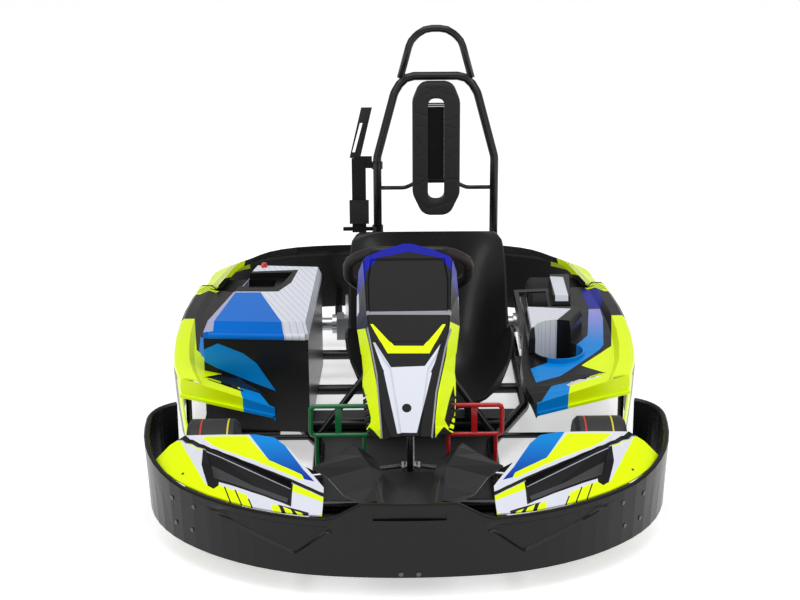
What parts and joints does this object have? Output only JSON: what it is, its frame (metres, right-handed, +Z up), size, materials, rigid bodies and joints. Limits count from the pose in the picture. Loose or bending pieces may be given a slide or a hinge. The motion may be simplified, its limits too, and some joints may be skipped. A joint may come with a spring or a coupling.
{
  "type": "racing kart",
  "caption": "Low one-seat electric rental kart with wrap-round bumpers, raked steering fairing, side pods, offset seat and roll hoop with headrest.",
  "frame": {"origin": "middle of the kart's box at floor level, under the tyres", "axes": "+Y towards the rear, -Y towards the front, +X the kart's left side, +Z up"},
  "size_m": [1.357, 1.89, 1.096],
  "materials": {
    "frame_steel": "satin powder coat",
    "black_plastic": "satin moulded",
    "livery_yellow": "gloss printed film",
    "livery_white": "gloss printed film",
    "seat_plastic": "satin",
    "foam_black": "matte moulded foam",
    "tyre": "matte rubber",
    "rim": "cast satin",
    "axle_steel": "bright",
    "disc_steel": "ground",
    "tray": "satin",
    "webbing": "woven",
    "green_paint": "gloss",
    "red_paint": "gloss",
    "motor_grey": "painted",
    "rubber": "matte",
    "caliper_metal": "anodised"
  },
  "bodies": {
    "chassis": {"chassis_frame": "frame_steel", "frame_cross_tubes": "frame_steel", "front_axle_beams": "frame_steel", "floor_tray": "tray", "axle_hangers": "frame_steel", "seat_rails": "frame_steel", "steering_support": "frame_steel", "front_bumper": "black_plastic", "front_bumper_corners": "black_plastic", "wing_left": "livery_yellow", "wing_right": "livery_yellow", "nose": "black_plastic", "steering_fairing": "livery_yellow", "side_pod_left": "black_plastic", "side_pod_right": "black_plastic", "battery_box": "black_plastic", "battery_cover": "livery_white", "motor": "motor_grey", "motor_pulley": "axle_steel", "drive_belt": "rubber", "rear_bumper": "black_plastic", "seat": "seat_plastic", "roll_hoop": "frame_steel", "headrest": "foam_black", "belt_guide": "frame_steel", "belt_strap": "webbing", "belt_buckle": "foam_black", "pedal_brake": "red_paint", "pedal_accelerator": "green_paint", "brake_caliper": "caliper_metal"},
    "steering": {"steering_wheel": "rubber", "steering_column": "axle_steel"},
    "rear_axle_assembly": {"rear_axle": "axle_steel", "brake_disc": "disc_steel", "drive_pulley": "axle_steel", "rear_rims": "rim", "rear_tyres": "tyre"},
    "knuckle_left": {"knuckle_left": "axle_steel"},
    "front_wheel_left": {"front_rim_left": "rim", "front_tyre_left": "tyre"},
    "tie_rod_left": {"tie_rod_left": "axle_steel"},
    "knuckle_right": {"knuckle_right": "axle_steel"},
    "front_wheel_right": {"front_rim_right": "rim", "front_tyre_right": "tyre"},
    "tie_rod_right": {"tie_rod_right": "axle_steel"}
  },
  "joints": [
    {"name": "steering_turn", "type": "hinge", "parent": "chassis", "child": "steering", "pos_m": [0.01, -0.143, 0.554], "axis": [0, 0.7071, 0.7071], "range_deg": [-70, 70]},
    {"name": "knuckle_turn_left", "type": "hinge", "parent": "chassis", "child": "knuckle_left", "pos_m": [0.385, -0.467, 0.127], "axis": [0, 0, 1], "range_deg": [-28, 28]},
    {"name": "front_wheel_spin_left", "type": "hinge", "parent": "knuckle_left", "child": "front_wheel_left", "pos_m": [0.499, -0.467, 0.127], "axis": [1, 0, 0], "continuous": true},
    {"name": "tie_rod_turn_left", "type": "hinge", "parent": "knuckle_left", "child": "tie_rod_left", "pos_m": [0.367, -0.552, 0.107], "axis": [0, 0, 1], "range_deg": [-28, 28]},
    {"name": "knuckle_turn_right", "type": "hinge", "parent": "chassis", "child": "knuckle_right", "pos_m": [-0.385, -0.467, 0.127], "axis": [0, 0, 1], "range_deg": [-28, 28]},
    {"name": "front_wheel_spin_right", "type": "hinge", "parent": "knuckle_right", "child": "front_wheel_right", "pos_m": [-0.499, -0.467, 0.127], "axis": [1, 0, 0], "continuous": true},
    {"name": "tie_rod_turn_right", "type": "hinge", "parent": "knuckle_right", "child": "tie_rod_right", "pos_m": [-0.367, -0.552, 0.107], "axis": [0, 0, 1], "range_deg": [-28, 28]},
    {"name": "rear_axle_spin", "type": "hinge", "parent": "chassis", "child": "rear_axle_assembly", "pos_m": [0, 0.583, 0.14], "axis": [1, 0, 0], "continuous": true}
  ],
  "couplings": [
    {"joint": "knuckle_turn_left", "follows": "steering_turn", "ratio": 0.4},
    {"joint": "tie_rod_turn_left", "follows": "steering_turn", "ratio": -0.4},
    {"joint": "knuckle_turn_right", "follows": "steering_turn", "ratio": 0.4},
    {"joint": "tie_rod_turn_right", "follows": "steering_turn", "ratio": -0.4}
  ]
}
